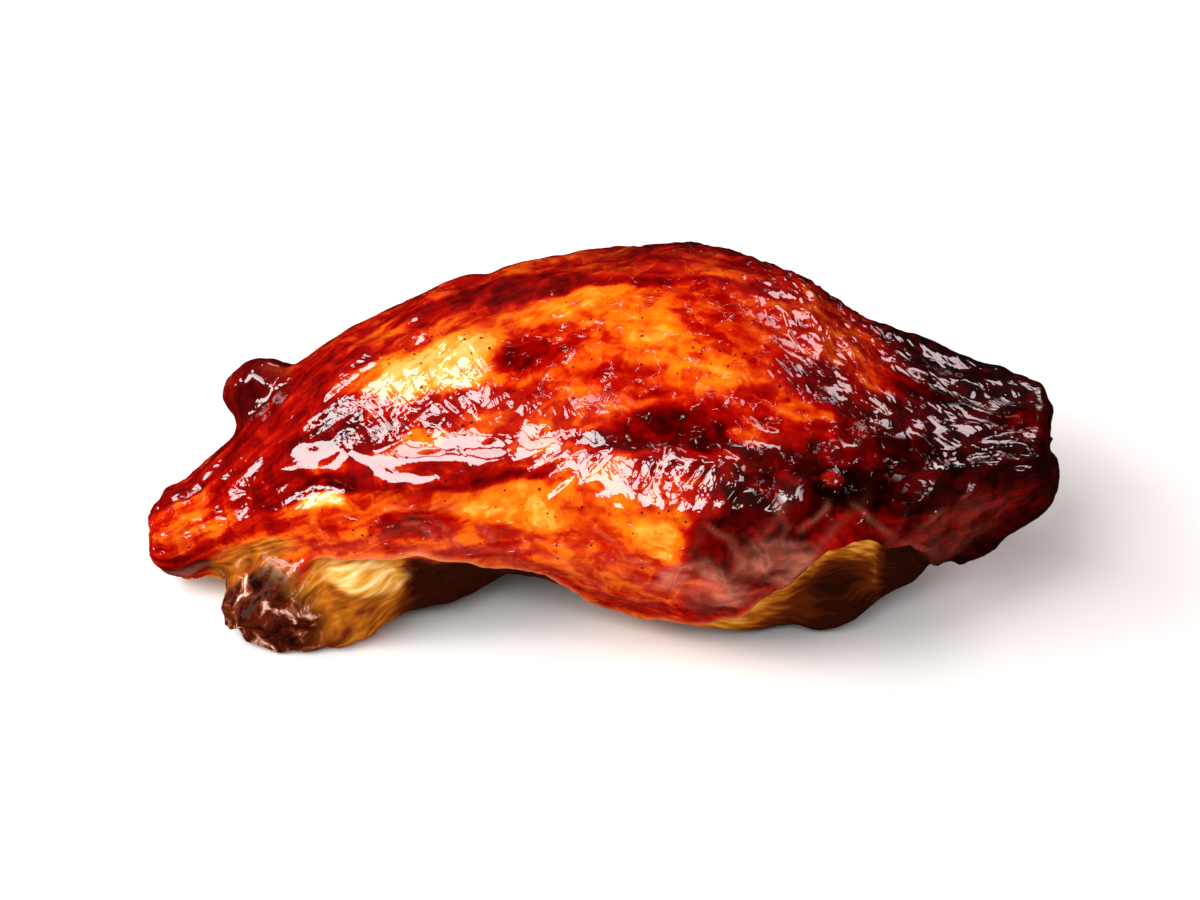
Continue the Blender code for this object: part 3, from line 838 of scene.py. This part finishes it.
# Studio light: eight softboxes in a dim room. The glaze mirrors them, so each stands where a
# streak of light on the wing calls for it: the key makes the long band on the left, and the
# others the slanted strokes and the flecks.
def softbox(name, azimuth, elevation, distance, width, height, brightness, tint):
    """A rectangular softbox that faces the wing. brightness is its radiance."""
    lamp = bpy.data.lights.new(name, "AREA")
    lamp.shape = "RECTANGLE"
    lamp.size = width
    lamp.size_y = height
    lamp.energy = brightness * math.pi * width * height
    lamp.color = linear(tint)[:3]
    holder = bpy.data.objects.new(name, lamp)
    bpy.context.scene.collection.objects.link(holder)
    turn, rise = math.radians(azimuth), math.radians(elevation)
    out = Vector((
        math.sin(turn) * math.cos(rise), -math.cos(turn) * math.cos(rise), math.sin(rise),
    ))
    holder.location = AIM + out * distance
    holder.rotation_euler = out.to_track_quat("Z", "Y").to_euler()


# Name, azimuth from the front, elevation, distance, width, height, brightness, tint
SOFTBOXES = (
    ("key", -48.0, 48.0, 0.55, 0.56, 0.20, 8.6, "#FFFFFF"),
    ("high_left", -38.0, 68.0, 0.55, 0.22, 0.11, 7.5, "#FFFFFF"),
    ("fill", 0.0, 14.0, 0.55, 0.60, 0.20, 1.2, "#FFFFFF"),
    ("top_left", -116.0, 46.0, 0.55, 0.24, 0.14, 8.0, "#FFFFFF"),
    ("front", 18.0, 46.0, 0.55, 0.18, 0.10, 7.5, "#FFFFFF"),
    ("left_wall", -84.0, 22.0, 0.50, 0.22, 0.20, 8.0, "#FFFFFF"),
    ("right_wall", 78.0, 38.0, 0.55, 0.18, 0.12, 6.0, "#FFECEE"),
    ("back_right", 140.0, 40.0, 0.55, 0.26, 0.20, 5.5, "#FFE6EA"),
)
for row in SOFTBOXES:
    softbox(*row)
bpy.data.objects["fill"].visible_glossy = False  # it only brightens the shaded front

# The dim room, a little lighter overhead
world = bpy.data.worlds.new("dim_room")
bpy.context.scene.world = world
world.use_nodes = True
sky = world.node_tree
direction = add(sky, "ShaderNodeTexCoord").outputs["Generated"]
height = add(sky, "ShaderNodeSeparateXYZ", {"Vector": direction}).outputs["Z"]
shade = add(sky, "ShaderNodeValToRGB", {"Fac": height}, stops=(
    (0.0, "#0C0C0C"), (0.25, "#242426"), (1.0, "#3C3C3E"),
))
sky.links.new(shade.outputs["Color"], sky.nodes["Background"].inputs["Color"])
sky.nodes["Background"].inputs["Strength"].default_value = 1.0
